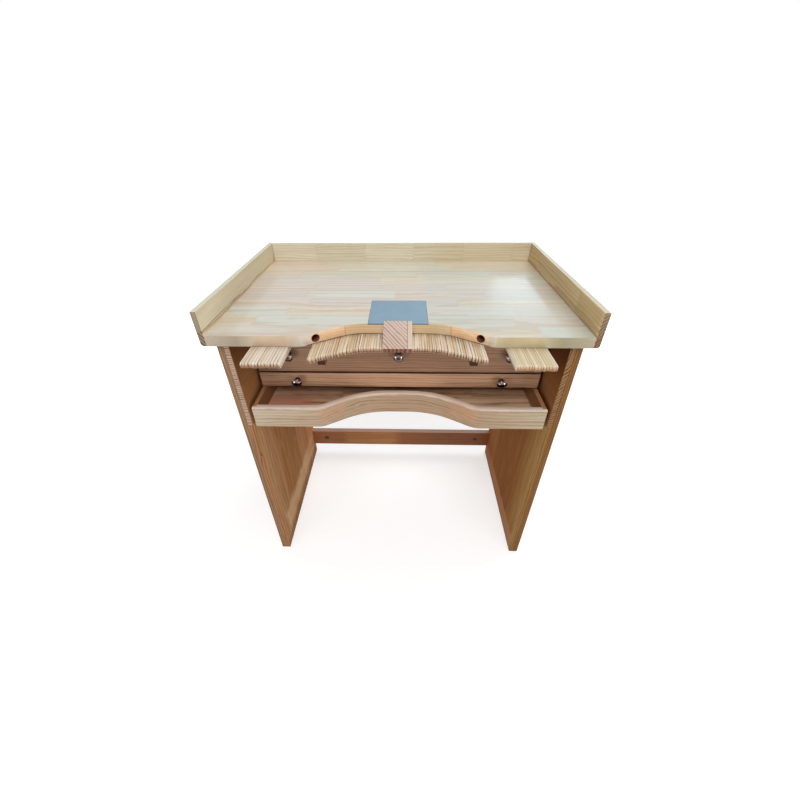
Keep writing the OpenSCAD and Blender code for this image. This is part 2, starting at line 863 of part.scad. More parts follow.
tray_left_side();
tray_right_side();
tray_back();
tray_bottom();
left_armrest();
right_armrest();
hand_rest_slab();
left_hand_rest_bar();
right_hand_rest_bar();
bench_pin();
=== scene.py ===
import json
import math
import random

import bmesh
import bpy
from mathutils import Matrix, Vector


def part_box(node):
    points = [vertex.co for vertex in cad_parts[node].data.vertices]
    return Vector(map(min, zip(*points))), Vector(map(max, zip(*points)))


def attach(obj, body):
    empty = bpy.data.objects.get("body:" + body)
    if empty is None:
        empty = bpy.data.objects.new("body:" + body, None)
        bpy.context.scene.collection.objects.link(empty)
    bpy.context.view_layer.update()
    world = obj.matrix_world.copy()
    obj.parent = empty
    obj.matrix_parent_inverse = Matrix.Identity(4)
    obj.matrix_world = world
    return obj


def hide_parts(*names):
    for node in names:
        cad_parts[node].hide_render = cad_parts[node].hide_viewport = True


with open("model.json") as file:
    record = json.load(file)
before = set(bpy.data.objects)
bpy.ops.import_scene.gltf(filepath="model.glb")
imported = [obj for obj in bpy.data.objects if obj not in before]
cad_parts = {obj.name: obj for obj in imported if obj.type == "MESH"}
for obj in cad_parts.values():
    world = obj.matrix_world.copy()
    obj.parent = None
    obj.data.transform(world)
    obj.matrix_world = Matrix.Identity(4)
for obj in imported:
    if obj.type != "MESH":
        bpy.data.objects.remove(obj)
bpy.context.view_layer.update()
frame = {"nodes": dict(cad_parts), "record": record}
mm = 0.001
print("stage: frame loaded,", len(frame["nodes"]), "nodes")


# Shared helpers

def colour(red, green, blue):  # 0 to 255 as a picture shows it, to the shader's linear value
    def linear(value):
        value /= 255
        return value / 12.92 if value <= 0.04045 else ((value + 0.055) / 1.055) ** 2.4
    return (linear(red), linear(green), linear(blue), 1)


def place(tree, kind, values=None, **settings):
    made = tree.nodes.new("ShaderNode" + kind)
    for key, value in settings.items():
        setattr(made, key, value)
    for key, value in (values or {}).items():
        if isinstance(value, bpy.types.NodeSocket):
            tree.links.new(value, made.inputs[key])
        else:
            made.inputs[key].default_value = value
    return made


def maths(tree, operation, first, second=0.0, clamp=False):
    return place(tree, "Math", {0: first, 1: second}, operation=operation, use_clamp=clamp).outputs[0]


def vectorMaths(tree, operation, first, second=(0, 0, 0)):
    return place(tree, "VectorMath", {0: first, 1: second}, operation=operation).outputs[0]


def millimetres(tree):  # the piece's own coordinates
    return vectorMaths(tree, "MULTIPLY", place(tree, "TexCoord").outputs["Object"], (1 / mm, 1 / mm, 1 / mm))


def apart(tree, vector):  # its X, Y and Z
    return place(tree, "SeparateXYZ", {0: vector}).outputs


def facingUp(tree):
    return apart(tree, place(tree, "TexCoord").outputs["Normal"])["Z"]


def noise(tree, vector, scale, detail, roughness=0.5):  # scaled along each axis
    return place(tree, "TexNoise", {"Vector": vectorMaths(tree, "MULTIPLY", vector, scale), "Scale": 1,
                 "Detail": detail, "Roughness": roughness}).outputs


def mixed(tree, factor, first, second, blend="MIX"):
    made = place(tree, "Mix", data_type="RGBA", blend_type=blend)
    for name, value in (("Factor", factor), ("A", first), ("B", second)):
        socket = [s for s in made.inputs if s.name == name and s.enabled][0]
        if isinstance(value, bpy.types.NodeSocket):
            tree.links.new(value, socket)
        else:
            socket.default_value = value
    return [s for s in made.outputs if s.enabled][0]


def spread(tree, value, low, high, toLow=0.0, toHigh=1.0, smooth=False):
    kind = "SMOOTHSTEP" if smooth else "LINEAR"
    return place(tree, "MapRange", {"Value": value, "From Min": low, "From Max": high,
                 "To Min": toLow, "To Max": toHigh}, interpolation_type=kind).outputs[0]


def ramped(tree, value, stops, kind="LINEAR"):  # stops from 0 to 1, each with its tone
    ramp = place(tree, "ValToRGB", {0: value})
    ramp.color_ramp.interpolation = kind
    points = ramp.color_ramp.elements
    for number, (at, tone) in enumerate(stops):
        point = points[number] if number < 2 else points.new(at)
        point.position, point.color = at, colour(*tone)
    return ramp.outputs[0]


def blankMaterial(name):
    material = bpy.data.materials.new(name)
    material.use_nodes = True
    return material, material.node_tree, material.node_tree.nodes["Principled BSDF"]


def newGroup(name, inputs, outputs):
    group = bpy.data.node_groups.new(name, "ShaderNodeTree")
    for socketName, kind, value in inputs:
        socket = group.interface.new_socket(socketName, in_out="INPUT", socket_type="NodeSocket" + kind)
        if value is not None:
            socket.default_value = value
    for socketName, kind in outputs:
        group.interface.new_socket(socketName, in_out="OUTPUT", socket_type="NodeSocket" + kind)
    return group, group.nodes.new("NodeGroupInput").outputs, group.nodes.new("NodeGroupOutput").inputs


def grouped(tree, group, values):
    return place(tree, "Group", values, node_tree=group).outputs


def backgroundRays(tree):  # rays that see the white studio: camera, gloss and glass
    path = place(tree, "LightPath").outputs
    return maths(tree, "MAXIMUM", path["Is Camera Ray"], maths(
        tree, "MAXIMUM", path["Is Glossy Ray"], path["Is Transmission Ray"]))


def rimLine(tree, low, high, width):  # mask along the inside of a rectangle's sides, all in metres
    parts = apart(tree, place(tree, "TexCoord").outputs["Object"])
    gaps = [maths(tree, "MINIMUM", maths(tree, "SUBTRACT", parts[axis], low[at]),
                  maths(tree, "SUBTRACT", high[at], parts[axis])) for at, axis in enumerate(("X", "Y"))]
    darkest = 0.35 * width
    return spread(tree, maths(tree, "MINIMUM", *gaps), darkest, width, 1, 0)


def softBox(tree, low, high, soft):  # mask of a box in millimetres, its sides faded and a little uneven
    uneven = noise(tree, place(tree, "TexCoord").outputs["Object"], (30, 30, 30), 2)["Color"]
    spot = vectorMaths(tree, "ADD", millimetres(tree), vectorMaths(tree, "MULTIPLY", vectorMaths(
        tree, "SUBTRACT", uneven, (0.5, 0.5, 0.5)), (soft, soft, soft)))
    inside = apart(tree, vectorMaths(tree, "MINIMUM", vectorMaths(
        tree, "SUBTRACT", spot, low), vectorMaths(tree, "SUBTRACT", high, spot)))
    least = maths(tree, "MINIMUM", maths(tree, "MINIMUM", inside["X"], inside["Y"]), inside["Z"])
    return spread(tree, least, -soft / 2, soft / 2, smooth=True)


# half widths of a glue line in mm, and what is left of it at the back
glue = {"core": 0.5, "edge": 1.6, "faded": 0.2}


def glueLine(tree, axis, at, share=0.85, fade=None):  # mask of a thin line at a height, depth or width, in mm
    parts = apart(tree, millimetres(tree))
    away = maths(tree, "ABSOLUTE", maths(tree, "SUBTRACT", parts[axis], at))
    line = spread(tree, away, glue["core"], glue["edge"], share, 0)
    if fade:  # weaker towards the back
        line = maths(tree, "MULTIPLY", line, spread(tree, parts["Y"], *fade, 1, glue["faded"]))
    return parts[axis], line


# Wood: glued strips, growth rings and end grain. Board coordinates run along the grain
# in x, over the face in y and through the board in z, in millimetres.

stripCut = {"lengths": (0.7, 1.3), "rowShift": 7919, "seamCore": 0.25, "seamEdge": 1.1,
            "otherTree": (900, 160, 90)}  # each strip is cut from another part of a log


def makeStrips():
    group, given, result = newGroup("gluedStrips", [
        ("Vector", "Vector", None), ("Width", "Float", 60), ("Length", "Float", 380),
        ("Finger", "Float", 9), ("Pitch", "Float", 4), ("Seed", "Float", 0)],
        [("Vector", "Vector"), ("Tone", "Color"), ("Seam", "Float")])
    parts = apart(group, given["Vector"])
    across = maths(group, "DIVIDE", parts["Y"], given["Width"])
    row = maths(group, "FLOOR", across)
    rowPick = place(group, "TexWhiteNoise", {"Vector": place(group, "CombineXYZ", {
        "X": row, "Y": given["Seed"]}).outputs[0]}, noise_dimensions="2D").outputs
    zigzag = maths(group, "MULTIPLY", maths(group, "DIVIDE", maths(
        group, "PINGPONG", parts["Y"], given["Pitch"]), given["Pitch"]), given["Finger"])
    rowLength = maths(group, "MULTIPLY", given["Length"], spread(
        group, rowPick["Value"], 0, 1, *stripCut["lengths"]))
    offset = maths(group, "MULTIPLY", rowPick["Value"], stripCut["rowShift"])
    along = maths(group, "DIVIDE", maths(group, "ADD", maths(
        group, "ADD", parts["X"], zigzag), offset), rowLength)
    strip = maths(group, "FLOOR", along)
    tone = place(group, "TexWhiteNoise", {"Vector": place(group, "CombineXYZ", {
        "X": row, "Y": strip, "Z": given["Seed"]}).outputs[0]}, noise_dimensions="3D").outputs

    def seamAt(value, size):  # distance to the nearest glue line, in millimetres
        away = maths(group, "SUBTRACT", 0.5, maths(group, "ABSOLUTE", maths(
            group, "SUBTRACT", maths(group, "FRACT", value), 0.5)))
        return maths(group, "MULTIPLY", away, size)

    nearest = maths(group, "MINIMUM", seamAt(across, given["Width"]), seamAt(along, rowLength))
    seam = spread(group, nearest, stripCut["seamCore"], stripCut["seamEdge"], 1, 0)
    moved = vectorMaths(group, "ADD", given["Vector"], vectorMaths(
        group, "MULTIPLY", vectorMaths(group, "SUBTRACT", tone["Color"], (0.5, 0.5, 0.5)),
        stripCut["otherTree"]))
    group.links.new(moved, result["Vector"])
    group.links.new(tone["Color"], result["Tone"])
    group.links.new(seam, result["Seam"])
    return group


growth = {"bendScale": (0.0022, 0.011, 0.011), "wobbleScale": (0.006, 0.05, 0.05), "wobble": 1.6,
          "summerFrom": 0.25, "summerFull": 0.86, "summerEnd": 0.9, "weakestRing": 0.45,
          "fibreScale": (0.012, 0.9, 0.9), "fibreShare": (-0.05, 0.14),
          "cloudScale": (0.004, 0.03, 0.03), "cloudShare": (-0.06, 0.1),
          "streakScale": (0.0022, 0.09, 0.09), "streakMiddle": 0.45, "seedStep": 613,
          "ringHeight": 0.6, "fibreHeight": 0.4}


def makeGrain():
    group, given, result = newGroup("pineGrain", [
        ("Vector", "Vector", None),
        ("Pale", "Color", (0.7, 0.5, 0.3, 1)), ("Dark", "Color", (0.4, 0.2, 0.1, 1)),
        ("Ring", "Float", 5), ("Depth", "Float", 60), ("Aside", "Float", 20), ("Contrast", "Float", 0.5),
        ("Wave", "Float", 10), ("Seed", "Float", 0), ("Streak", "Float", 0), ("Fineness", "Float", 1)],
        [("Color", "Color"), ("Height", "Float"), ("Rings", "Float")])
    seeded = vectorMaths(group, "ADD", given["Vector"], place(group, "CombineXYZ", {
        "X": maths(group, "MULTIPLY", given["Seed"], growth["seedStep"])}).outputs[0])
    # the log's own bends push the rings sideways
    bend = noise(group, seeded, growth["bendScale"], 2)["Color"]
    pushed = vectorMaths(group, "MULTIPLY", vectorMaths(group, "SUBTRACT", bend, (0.5, 0.5, 0.5)),
                         place(group, "CombineXYZ", {"Y": given["Wave"], "Z": given["Wave"]}).outputs[0])
    centre = place(group, "CombineXYZ", {"Y": given["Aside"], "Z": given["Depth"]}).outputs[0]
    bent = vectorMaths(group, "ADD", vectorMaths(group, "ADD", given["Vector"], pushed), centre)
    flat = vectorMaths(group, "MULTIPLY", bent, (0, 1, 1))
    radius = place(group, "VectorMath", {0: flat}, operation="LENGTH").outputs["Value"]
    wobble = noise(group, seeded, growth["wobbleScale"], 3, 0.6)["Fac"]
    turns = maths(group, "ADD", maths(group, "DIVIDE", radius, given["Ring"]),
                  maths(group, "MULTIPLY", wobble, growth["wobble"]))
    year = maths(group, "FRACT", turns)
    # pale spring wood darkens slowly to the summer ring, then ends sharply
    rise = spread(group, year, growth["summerFrom"], growth["summerFull"], smooth=True)
    fall = spread(group, year, growth["summerEnd"], 1, 1, 0, smooth=True)
    summer = maths(group, "MULTIPLY", rise, fall)
    count = maths(group, "FLOOR", turns)
    ringPick = place(group, "TexWhiteNoise", {"W": count}, noise_dimensions="1D").outputs["Value"]
    summer = maths(group, "MULTIPLY", summer, spread(group, ringPick, 0, 1, growth["weakestRing"], 1))
    fibres = noise(group, seeded, growth["fibreScale"], 4, 0.65)["Fac"]
    clouds = noise(group, seeded, growth["cloudScale"], 2)["Fac"]
    stretched = vectorMaths(group, "MULTIPLY", seeded, growth["streakScale"])
    streaks = place(group, "TexNoise", {
        "Vector": stretched, "Scale": given["Fineness"], "Detail": 3}).outputs["Fac"]
    strength = maths(group, "ADD", maths(group, "MULTIPLY", summer, given["Contrast"]), maths(
        group, "MULTIPLY", maths(group, "SUBTRACT", streaks, growth["streakMiddle"]), given["Streak"]))
    mottle = maths(group, "ADD", spread(group, fibres, 0.35, 0.7, *growth["fibreShare"]),
                   spread(group, clouds, 0.3, 0.7, *growth["cloudShare"]))
    amount = maths(group, "ADD", strength, mottle, clamp=True)
    group.links.new(mixed(group, amount, given["Pale"], given["Dark"]), result["Color"])
    height = maths(group, "ADD", maths(group, "MULTIPLY", summer, growth["ringHeight"]),
                   maths(group, "MULTIPLY", fibres, growth["fibreHeight"]))
    group.links.new(height, result["Height"])
    group.links.new(summer, result["Rings"])
    return group


# the rings' share of an end's colour, and how squarely a face looks along the grain to be an end
endCut = {"ringTone": (0.3, 0.22, 0.17, 1), "facing": (0.6, 0.95)}


def makeEndGrain():
    group, given, result = newGroup("endGrain", [
        ("Color", "Color", (0.5, 0.3, 0.2, 1)), ("End", "Color", (0.4, 0.25, 0.15, 1)),
        ("Axis", "Vector", (1, 0, 0)), ("Rings", "Float", 0), ("Ring Share", "Float", 0.6)],
        [("Color", "Color")])
    facing = place(group, "VectorMath", {0: place(group, "TexCoord").outputs["Normal"], 1: given["Axis"]},
                   operation="DOT_PRODUCT").outputs["Value"]
    mask = spread(group, maths(group, "ABSOLUTE", facing), *endCut["facing"], smooth=True)
    ringed = mixed(group, maths(group, "MULTIPLY", given["Rings"], given["Ring Share"]), given["End"],
                   mixed(group, 1, given["End"], endCut["ringTone"], "MULTIPLY"))
    group.links.new(mixed(group, mask, given["Color"], ringed), result["Color"])
    return group


gluedStrips, pineGrain, endGrain = makeStrips(), makeGrain(), makeEndGrain()
# the grain's way, and where two are given the way across the face
axisOrder = {"x": ("X", "Y", "Z"), "y": ("Y", "X", "Z"), "z": ("Z", "Y", "X"),
             "xz": ("X", "Z", "Y"), "yz": ("Y", "Z", "X"), "zx": ("Z", "X", "Y")}
axisWay = {"x": (1, 0, 0), "y": (0, 1, 0), "z": (0, 0, 1)}


def boardVector(tree, order, start, turn=0):
    parts = apart(tree, vectorMaths(tree, "SUBTRACT", millimetres(tree), start))
    along, across, through = [parts[name] for name in axisOrder[order]]
    vector = place(tree, "CombineXYZ", {"X": along, "Y": across, "Z": through}).outputs[0]
    if turn:
        vector = place(tree, "Mapping", {"Vector": vector, "Rotation": (0, 0, math.radians(turn))}).outputs[0]
    return vector


def woodShade(tree, look):
    order = look.get("order", "x")
    board = vector = boardVector(tree, order, look.get("start", (0, 0, 0)), look.get("turn", 0))
    dark, seam = colour(*look["dark"]), None
    if "strip" in look:
        strips = grouped(tree, gluedStrips, {
            "Vector": vector, "Width": look["strip"][0], "Length": look["strip"][1],
            "Seed": look["seed"], "Finger": look.get("finger", 9)})
        vector, seam = strips["Vector"], strips["Seam"]
        pick = place(tree, "SeparateColor", {0: strips["Tone"]}).outputs["Green"]
        tints = look["tints"]
        pale = ramped(tree, pick, [(at / len(tints), tint) for at, tint in enumerate(tints)], "CONSTANT")
    else:
        pale = colour(*look["pale"])
    if "ramp" in look:  # tones that change along ("X") or across ("Y") the board
        axis, share, stops = look["ramp"]
        low, high = stops[0][0], stops[-1][0]
        along = spread(tree, apart(tree, board)[axis], low, high)
        stops = [((at - low) / (high - low), tone) for at, tone in stops]
        pale = mixed(tree, share, pale, ramped(tree, along, stops))
    grain = grouped(tree, pineGrain, {
        "Vector": vector, "Pale": pale, "Dark": dark, "Seed": look["seed"], "Ring": look.get("ring", 5),
        "Depth": look.get("depth", 60), "Aside": look.get("aside", 20), "Wave": look.get("wave", 12),
        "Contrast": look.get("contrast", 0.5), "Streak": look.get("streak", 0),
        "Fineness": look.get("fineness", 1)})
    shade = grain["Color"]
    if seam is not None:
        shade = mixed(tree, maths(tree, "MULTIPLY", seam, look.get("seamShare", 0.5)), shade, dark)
    ends = grouped(tree, endGrain, {
        "Color": shade, "End": colour(*look.get("end", (150, 108, 72))), "Axis": axisWay[order[0]],
        "Rings": grain["Rings"], "Ring Share": look.get("endRings", 0.6)})
    shade = ends["Color"]
    # patches are boxes in mm, with how soft each is, its tone and its share
    for low, high, soft, tone, share in look.get("patches", ()):
        mask = maths(tree, "MULTIPLY", softBox(tree, low, high, soft), share)
        shade = mixed(tree, mask, shade, colour(*tone))
    return shade, grain["Height"]


# how far lids and upright faces look up, how much a board's own height changes its roughness, and its bump
pine = {"lid": (0.7, 0.95), "upright": (0.2, 0.6), "roughness": (0.05, -0.06), "bump": 0.6, "relief": 0.15,
        "beyondSoft": 0.2}


def pineFinish(name, look, beyond=None):
    material, tree, shader = blankMaterial(name)
    shade, height = woodShade(tree, look)
    if beyond:  # a second board past a glue line: the axis, its start, how dark the line is, and its look
        axis, at, share, otherLook = beyond
        along, line = glueLine(tree, axis, at, share)
        past = spread(tree, along, at - pine["beyondSoft"], at + pine["beyondSoft"])
        shade = mixed(tree, past, shade, woodShade(tree, otherLook)[0])
        shade = mixed(tree, line, shade, colour(*look["dark"]))
    if "joint" in look:
        shade = mixed(tree, glueLine(tree, *look["joint"])[1], shade, colour(*look["dark"]))
    if "lid" in look:  # painted light and shade on faces that look up
        tone, share = look["lid"]
        shade = mixed(tree, spread(tree, facingUp(tree), *pine["lid"], 0, share), shade, colour(*tone))
    if "rim" in look:  # shadow line in the corner with the upstands
        line = maths(tree, "MULTIPLY", rimLine(tree, *look["rim"]), look["rimShare"])
        shade = mixed(tree, line, shade, colour(*look["dark"]))
    if "setBack" in look:  # painted light and shade on the upright cut faces: the arch's faces brighter and warmer, as lit from below, and the ends of the straight front edge darker
        spot = apart(tree, millimetres(tree))
        near, far, leftTint, rightTint = look["frontEnds"]
        endTint = mixed(tree, spread(tree, spot["X"], -1, 1), colour(*leftTint), colour(*rightTint))
        sideways = maths(tree, "ABSOLUTE", spot["X"])
        front = mixed(tree, spread(tree, sideways, near, far), colour(*look["cutTint"]), endTint)
        low, high, tint = look["setBack"]
        tone = mixed(tree, spread(tree, spot["Y"], low, high), front, colour(*tint))
        share = spread(tree, maths(tree, "ABSOLUTE", facingUp(tree)), *pine["upright"], 1, 0)
        shade = mixed(tree, share, shade, mixed(tree, 1, shade, tone, "MULTIPLY"))
    tree.links.new(shade, shader.inputs["Base Color"])
    rough = [look.get("rough", 0.42) + change for change in pine["roughness"]]
    tree.links.new(spread(tree, height, 0, 1, *rough), shader.inputs["Roughness"])
    bump = place(tree, "Bump", {"Height": height, "Distance": pine["relief"] * mm, "Strength": pine["bump"]})
    tree.links.new(bump.outputs[0], shader.inputs["Normal"])
    shader.inputs["Coat Weight"].default_value = look.get("coat", 0.05)
    shader.inputs["Coat Roughness"].default_value = look.get("coatRough", 0.3)
    shader.inputs["Specular IOR Level"].default_value = look.get("specular", 0.3)
    return material


# Eased copies of the boards: the frame's mesh is welded and flattened, and its edges are rounded

def weldedCopy(node):
    work = bmesh.new()
    work.from_mesh(frame["nodes"][node].data)
    bmesh.ops.remove_doubles(work, verts=work.verts, dist=0.002 * mm)
    bmesh.ops.dissolve_limit(work, angle_limit=math.radians(0.6), verts=work.verts, edges=work.edges)
    return work


def finished(work, name, nodes, materials, sharp=32):
    mesh = bpy.data.meshes.new(name)
    work.to_mesh(mesh)
    work.free()
    mesh.shade_smooth()
    mesh.set_sharp_from_angle(angle=math.radians(sharp))
    for material in materials:
        mesh.materials.append(material)
    piece = bpy.data.objects.new(name, mesh)
    bpy.context.scene.collection.objects.link(piece)
    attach(piece, bodyOf[nodes[0]])
    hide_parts(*nodes)
    return piece


def ease(piece, width, segments=3):
    bevel = piece.modifiers.new("easedEdges", "BEVEL")
    bevel.width = width * mm
    bevel.segments = segments
    bevel.limit_method = "ANGLE"
    bevel.angle_limit = math.radians(40)
    bevel.harden_normals = True
    return piece


def dressed(node, material, width, segments=3):
    return ease(finished(weldedCopy(node), node + "Dressed", [node], [material]), width, segments)


bodyOf = {node: body for body, members in frame["record"]["behaviour"]["bodies"].items() for node in members}
slotOf = {part["node"]: part["material_slot"] for part in frame["record"]["subparts"]}


def finishNode(node, material):  # a frame node that keeps its own mesh
    source = frame["nodes"][node]
    source.data.materials.clear()
    source.data.materials.append(material)


# Top, upstands, plate and pin

topLook = {
    "dark": (182, 154, 118), "strip": (59.5, 380), "seed": 4, "start": (0, -263.5, 0), "end": (180, 150, 118),
    "ring": 7, "depth": 70, "contrast": 0.5, "streak": 0.6, "fineness": 0.9, "seamShare": 0.8,
    "rough": 0.36, "coat": 0.7, "coatRough": 0.16, "specular": 0.5,
    "ramp": ("Y", 0.45, [(0, (192, 190, 184)), (280, (196, 196, 190)), (420, (208, 205, 192)),
                         (600, (240, 226, 204))]),
    "tints": [(206, 202, 190), (196, 205, 192), (210, 194, 182),
              (204, 211, 202), (214, 202, 174), (198, 191, 186)],
    # the cut faces' tones multiply the board's own: painted light on the arch, painted shade at the front
    # edge's ends
    "cutTint": (262, 262, 272), "setBack": (-262, -235, (284, 246, 209)),
    "frontEnds": (335, 405, (174, 170, 148), (177, 172, 136)),
    "patches": [
        ((-280, -270, 960), (-200, -240, 999.4), 4, (192, 176, 152), 0.6),
        ((90, -266, 960), (520, -255, 999.4), 4, (169, 163, 110), 0.4),
        ((-520, -266, 960), (520, -255, 971), 1.6, (92, 66, 44), 0.6),  # painted shade along the lower arrises
        # painted shadow line along the arch's bottom edge, above the hand rest
        ((-230, -262, 960), (230, -180, 972), 1.8, (66, 38, 22), 0.85),
        # painted shade with a bluish cast over the right part of the top
        ((110, -200, 999), (440, 250, 1002), 160, (166, 182, 176), 0.6)],
    "rim": ((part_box("left_upstand")[1][0], -1),
            (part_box("right_upstand")[0][0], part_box("back_upstand")[0][1]), 1.8 * mm), "rimShare": 0.6}
upstandLook = {"order": "yz", "pale": (218, 207, 178), "dark": (176, 148, 104), "end": (170, 152, 130),
               "seed": 11, "ring": 7, "depth": 40, "aside": 60, "streak": 0.3, "endRings": 0.35, "rough": 0.4,
               # lid: painted light on the upstands' top faces
               "coat": 0.15, "coatRough": 0.2, "specular": 0.12, "lid": ((198, 203, 190), 0.7)}
# the rings of the edge boards run down to the right on their ends
edgeBoard = dict(upstandLook, dark=(140, 92, 52), ring=8.6, start=(-492, 0, 988), depth=70, aside=62, wave=2,
                 # lid: painted light on the edge boards' top faces
                 contrast=0.55, end=(136, 119, 98), endRings=9, lid=((214, 196, 156), 0.3))
leftJoint = ("Z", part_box("left_upstand")[0][2] / mm, 0.9, (-160, 60))
rightJoint = ("Z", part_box("right_upstand")[0][2] / mm)
sidePines = {
    "left_edge_board": dict(edgeBoard, seed=31, joint=leftJoint, pale=(232, 214, 178), dark=(124, 84, 54),
                            wave=0),
    "right_edge_board": dict(edgeBoard, seed=33, joint=rightJoint, start=(492, 0, 985), depth=-70,
                             pale=(196, 158, 106), end=(122, 88, 48), endRings=1.8, ring=7.6),
    "left_upstand": dict(upstandLook, joint=leftJoint, end=(127, 113, 89), contrast=0.3),
    "right_upstand": dict(upstandLook, seed=13, joint=rightJoint, start=(492, 0, 1033), depth=-50, aside=50,
                          ring=8, pale=(216, 191, 144), dark=(146, 108, 66), end=(128, 102, 57), endRings=1.4,
                          contrast=0.42, streak=0.6, wave=26,
                          patches=[((470, -250, 1004), (500, -120, 1062), 14, (176, 148, 100), 0.45)])}
topPine = pineFinish("topPine", topLook)
backUpstandPine = pineFinish("backUpstandPine", dict(
    upstandLook, order="xz", seed=5, strip=(90, 260), start=(0, 0, 990), contrast=0.42, ring=4.4, wave=5,
    aside=150, tints=[(214, 206, 180), (220, 212, 188), (206, 196, 166), (210, 198, 170)],
    ramp=("X", 0.5, [(-490, (232, 224, 206)), (0, (230, 222, 200)),
                     (250, (206, 190, 158)), (490, (206, 190, 158))])))
# the bores' inside: a darker end-grain tone, with painted shade of their depth
borePine = pineFinish("borePine", {"pale": (140, 82, 54), "dark": (84, 44, 28), "seed": 23, "coat": 0.1})


def makeTop():
    work, boreMargin = weldedCopy("bench_top"), 0.3 * mm
    for mount in frame["record"]["mounts"]:
        if mount["kind"] != "bore":
            continue
        start, way, radius = Vector(mount["pos_m"]), Vector(mount["axis"]), mount["dims"]["r_mm"] * mm
        for face in work.faces:
            spots = [vert.co - start for vert in face.verts]
            if all((spot - way * spot.dot(way)).length < radius + boreMargin for spot in spots):
                face.material_index = 1
    return ease(finished(work, "benchTopDressed", ["bench_top"], [topPine, borePine]), 1.6)


makeTop()
for board, look in sidePines.items():
    dressed(board, pineFinish(board + "Pine", look), 1.2)
dressed("back_upstand", backUpstandPine, 1.4)
print("stage: top and upstands")


steel = {"scratches": (40, 1800, 1800), "clouds": (25, 25, 25)}  # scales of their noise


def steelFinish(name, look):
    material, tree, shader = blankMaterial(name)
    spot = place(tree, "TexCoord").outputs["Object"]
    scratches = noise(tree, spot, steel["scratches"], 3)["Fac"]
    clouds = noise(tree, spot, steel["clouds"], 3)["Fac"]
    cloud = [value * look["cloud"] for value in look["base"]]
    shade = mixed(tree, spread(tree, clouds, 0.3, 0.7), colour(*look["base"]), colour(*cloud))
    if "rim" in look:  # painted shade: a darker line round the plate, where it meets the wood
        line = maths(tree, "MULTIPLY", rimLine(tree, *look["rim"]), look["rimShare"])
        shade = mixed(tree, line, shade, colour(*look["rimTone"]))
    if "tarnishAndReflection" in look:  # tarnish in the turned grooves, and painted dark reflections round the rim and on the dome
        darkened = place(tree, "Attribute", attribute_name="tarnishAndReflection").outputs["Fac"]
        shade = mixed(tree, darkened, shade, colour(*look["tarnishAndReflection"]))
    tree.links.new(shade, shader.inputs["Base Color"])
    dull = spread(tree, scratches, 0.2, 0.8, look["rough"] - look["lines"], look["rough"] + look["lines"])
    tree.links.new(dull, shader.inputs["Roughness"])
    shader.inputs["Metallic"].default_value = 1
    return material


plateSteel = steelFinish("plateSteel", {
    "base": (134, 160, 177), "cloud": 0.97, "rough": 0.5, "lines": 0.05,
    "rim": (*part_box("steel_plate"), 1.6 * mm), "rimShare": 0.6, "rimTone": (52, 66, 78)})
# the knobs' chrome: its base kept dark, a painted reflection of a dark room
brightMetal = steelFinish("brightMetal", {"base": (150, 132, 128), "cloud": 0.92, "rough": 0.1, "lines": 0.02,
                                          "tarnishAndReflection": (58, 36, 30)})
# the barrel nuts nearly black: painted shade of the holes they sit in
nutSteel = steelFinish("nutSteel", {"base": (30, 14, 4), "cloud": 0.9, "rough": 0.45, "lines": 0.05})
zincSteel = steelFinish("zincSteel", {"base": (170, 172, 176), "cloud": 0.9, "rough": 0.35, "lines": 0.05})
dressed("steel_plate", plateSteel, 0.5)
pinLook = {"order": "y", "start": (0, -260, 1000), "turn": 36, "pale": (200, 182, 167), "dark": (144, 92, 78),
           "seed": 3, "ring": 8.2, "depth": 20, "aside": 140, "contrast": 0.9, "wave": 8, "rough": 0.5,
           "end": (124, 78, 61), "endRings": 1.4}
pinPine = pineFinish("pinPine", pinLook, ("X", 25, 0.7, dict(
    pinLook, turn=0, pale=(200, 188, 170), dark=(186, 158, 132), contrast=0.4, seed=9)))
dressed("bench_pin", pinPine, 1.0)
print("stage: plate and pin")


# Hand rest and armrests: boards with upright growth rings, worn back between the dark lines

# lengths in millimetres; foot and head are where the nose's low tone, painted shade on its lower part, fades
# into its end tone
restLook = {"pale": (223, 209, 188), "tan": (200, 174, 138), "line": (92, 54, 30), "end": (188, 158, 132),
            "low": (104, 62, 38), "foot": 3, "head": 14, "ringShare": 2.6, "lineShare": (0.5, 1.4),
            "fibres": (0.014, 1.1, 0.9), "fibreShare": (-0.04, 0.3), "fade": (0.02, 0.05, 0.05),
            "seedStep": 97, "relief": 0.2, "rough": 0.5, "specular": 0.3,
            "first": (1.5, 4), "pitch": (4.6, 8.6), "half": (0.8, 1.9), "depth": (0.4, 1), "last": 2,
            "notch": 2.8, "recess": 2.2, "groove": 0.3, "front": 8, "tip": 0.5, "nose": 6.5, "noseRows": 5}


